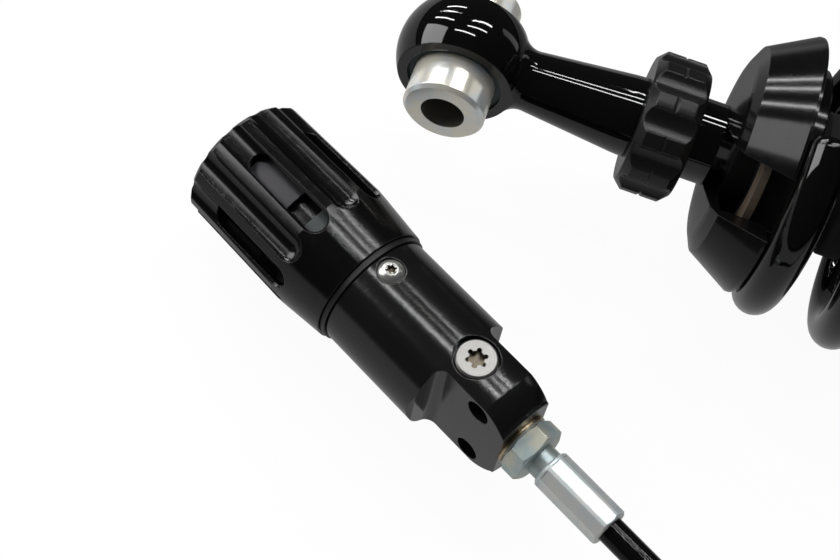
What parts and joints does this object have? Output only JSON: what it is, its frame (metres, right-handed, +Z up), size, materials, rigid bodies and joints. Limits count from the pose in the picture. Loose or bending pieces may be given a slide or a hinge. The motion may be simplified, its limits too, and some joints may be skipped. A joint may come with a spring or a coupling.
{
  "type": "motorcycle rear shock absorber",
  "caption": "Coil-over rear shock absorber with a rebound wheel, two eyes and a hand-turned hydraulic spring preload adjuster on a hose.",
  "frame": {"origin": "centre of the lower eye's bolt bore", "axes": "+X along the shock to the upper eye, +Y along the lower eye's bolt, +Z up"},
  "size_m": [0.4194, 0.2102, 0.0858],
  "materials": {
    "black_metal": "satin black anodised",
    "gloss_black": "gloss black paint",
    "zinc": "zinc plated",
    "steel": "turned steel",
    "gunmetal": "dark anodised",
    "chrome": "hard chrome",
    "alloy": "machined",
    "brass": "plain",
    "rubber": "moulded",
    "seal": "moulded",
    "bump_foam": "moulded foam",
    "plastic": "plain",
    "hose_rubber": "extruded"
  },
  "bodies": {
    "damper": {"damper_tube": "alloy", "rod_guide": "alloy", "rod_seal": "rubber", "dust_wiper": "rubber", "guide_bush": "brass", "guide_o_ring": "rubber", "guide_circlip": "steel", "upper_head": "black_metal", "head_o_ring": "rubber", "upper_bearing_race": "steel", "upper_eye_seals": "seal", "gas_valve": "brass", "gas_valve_cap": "zinc", "jack_housing": "black_metal", "main_spring": "gloss_black", "fitting_washers": "brass", "hose_fittings": "zinc", "hose_ferrules": "zinc", "hose": "hose_rubber", "adjuster_body": "black_metal", "adjuster_neck": "black_metal", "bleed_screw": "zinc", "lock_screw": "steel", "seam_ring": "rubber", "knob_clip": "steel", "guide_ring": "plastic", "click_ball": "steel", "click_spring": "steel"},
    "rod": {"lower_eye": "gloss_black", "lower_bearing_race": "steel", "lower_eye_seals": "seal", "wheel_detent_ball": "steel", "wheel_detent_spring": "steel", "lock_collar": "gloss_black", "spring_retainer": "black_metal", "bump_washer": "steel", "bump_stop": "bump_foam", "piston_rod": "chrome", "piston": "alloy", "piston_band": "plastic", "compression_shims": "steel", "rebound_shims": "steel", "piston_nut": "steel", "top_out_washer": "steel"},
    "lower_sleeve": {"lower_eye_sleeve": "zinc"},
    "upper_sleeve": {"upper_eye_sleeve": "zinc"},
    "wheel": {"rebound_wheel": "black_metal"},
    "needle": {"rebound_needle": "steel", "needle_cross_pin": "steel"},
    "gas_piston": {"floating_piston": "alloy", "floating_o_ring": "rubber"},
    "jack_ram": {"jack_piston": "alloy", "jack_seals": "rubber", "upper_spring_seat": "black_metal"},
    "adjuster_knob": {"knob": "black_metal", "knob_end_cap": "black_metal"},
    "adjuster_plunger": {"plunger": "steel", "plunger_o_ring": "rubber", "plunger_clip": "steel"},
    "adjuster_nut": {"indicator_nut": "gunmetal"}
  },
  "joints": [
    {"name": "rod_slide", "type": "slide", "parent": "damper", "child": "rod", "axis": [1, 0, 0], "range_m": [0, 0.06], "stiffness_N_per_m": 9000, "springref_m": -0.012, "deforming": ["main_spring"]},
    {"name": "gas_piston_slide", "type": "slide", "parent": "damper", "child": "gas_piston", "axis": [1, 0, 0], "range_m": [0, 0.0098]},
    {"name": "lower_sleeve_turn", "type": "hinge", "parent": "rod", "child": "lower_sleeve", "pos_m": [0, 0, 0], "axis": [0, 1, 0], "continuous": true},
    {"name": "upper_sleeve_turn", "type": "hinge", "parent": "damper", "child": "upper_sleeve", "pos_m": [0.345, 0, 0], "axis": [0, 1, 0], "continuous": true},
    {"name": "rebound_wheel_turn", "type": "hinge", "parent": "rod", "child": "wheel", "pos_m": [0.0585, 0, 0], "axis": [1, 0, 0], "range_deg": [-360, 360]},
    {"name": "needle_slide", "type": "slide", "parent": "rod", "child": "needle", "axis": [1, 0, 0], "range_m": [-0.001, 0.001]},
    {"name": "knob_turn", "type": "hinge", "parent": "damper", "child": "adjuster_knob", "pos_m": [-0.02877, -0.05245, -0.02009], "axis": [0.8622, -0.5018, 0.0696], "range_deg": [-1080, 1440]},
    {"name": "plunger_slide", "type": "slide", "parent": "damper", "child": "adjuster_plunger", "axis": [0.8622, -0.5018, 0.0696], "range_m": [-0.0045, 0.006]},
    {"name": "indicator_nut_turn", "type": "hinge", "parent": "adjuster_plunger", "child": "adjuster_nut", "pos_m": [-0.03308, -0.04994, -0.02044], "axis": [0.8622, -0.5018, 0.0696], "range_deg": [-1080, 1440]},
    {"name": "jack_slide", "type": "slide", "parent": "damper", "child": "jack_ram", "axis": [1, 0, 0], "range_m": [-0.00275, 0.00207]}
  ],
  "couplings": [
    {"joint": "gas_piston_slide", "follows": "rod_slide", "ratio": 0.16},
    {"joint": "needle_slide", "follows": "rebound_wheel_turn", "m_per_rad": 0.00015915},
    {"joint": "plunger_slide", "follows": "knob_turn", "m_per_rad": 0.00023873},
    {"joint": "indicator_nut_turn", "follows": "knob_turn", "ratio": 1},
    {"joint": "jack_slide", "follows": "knob_turn", "m_per_rad": -0.00010915}
  ]
}
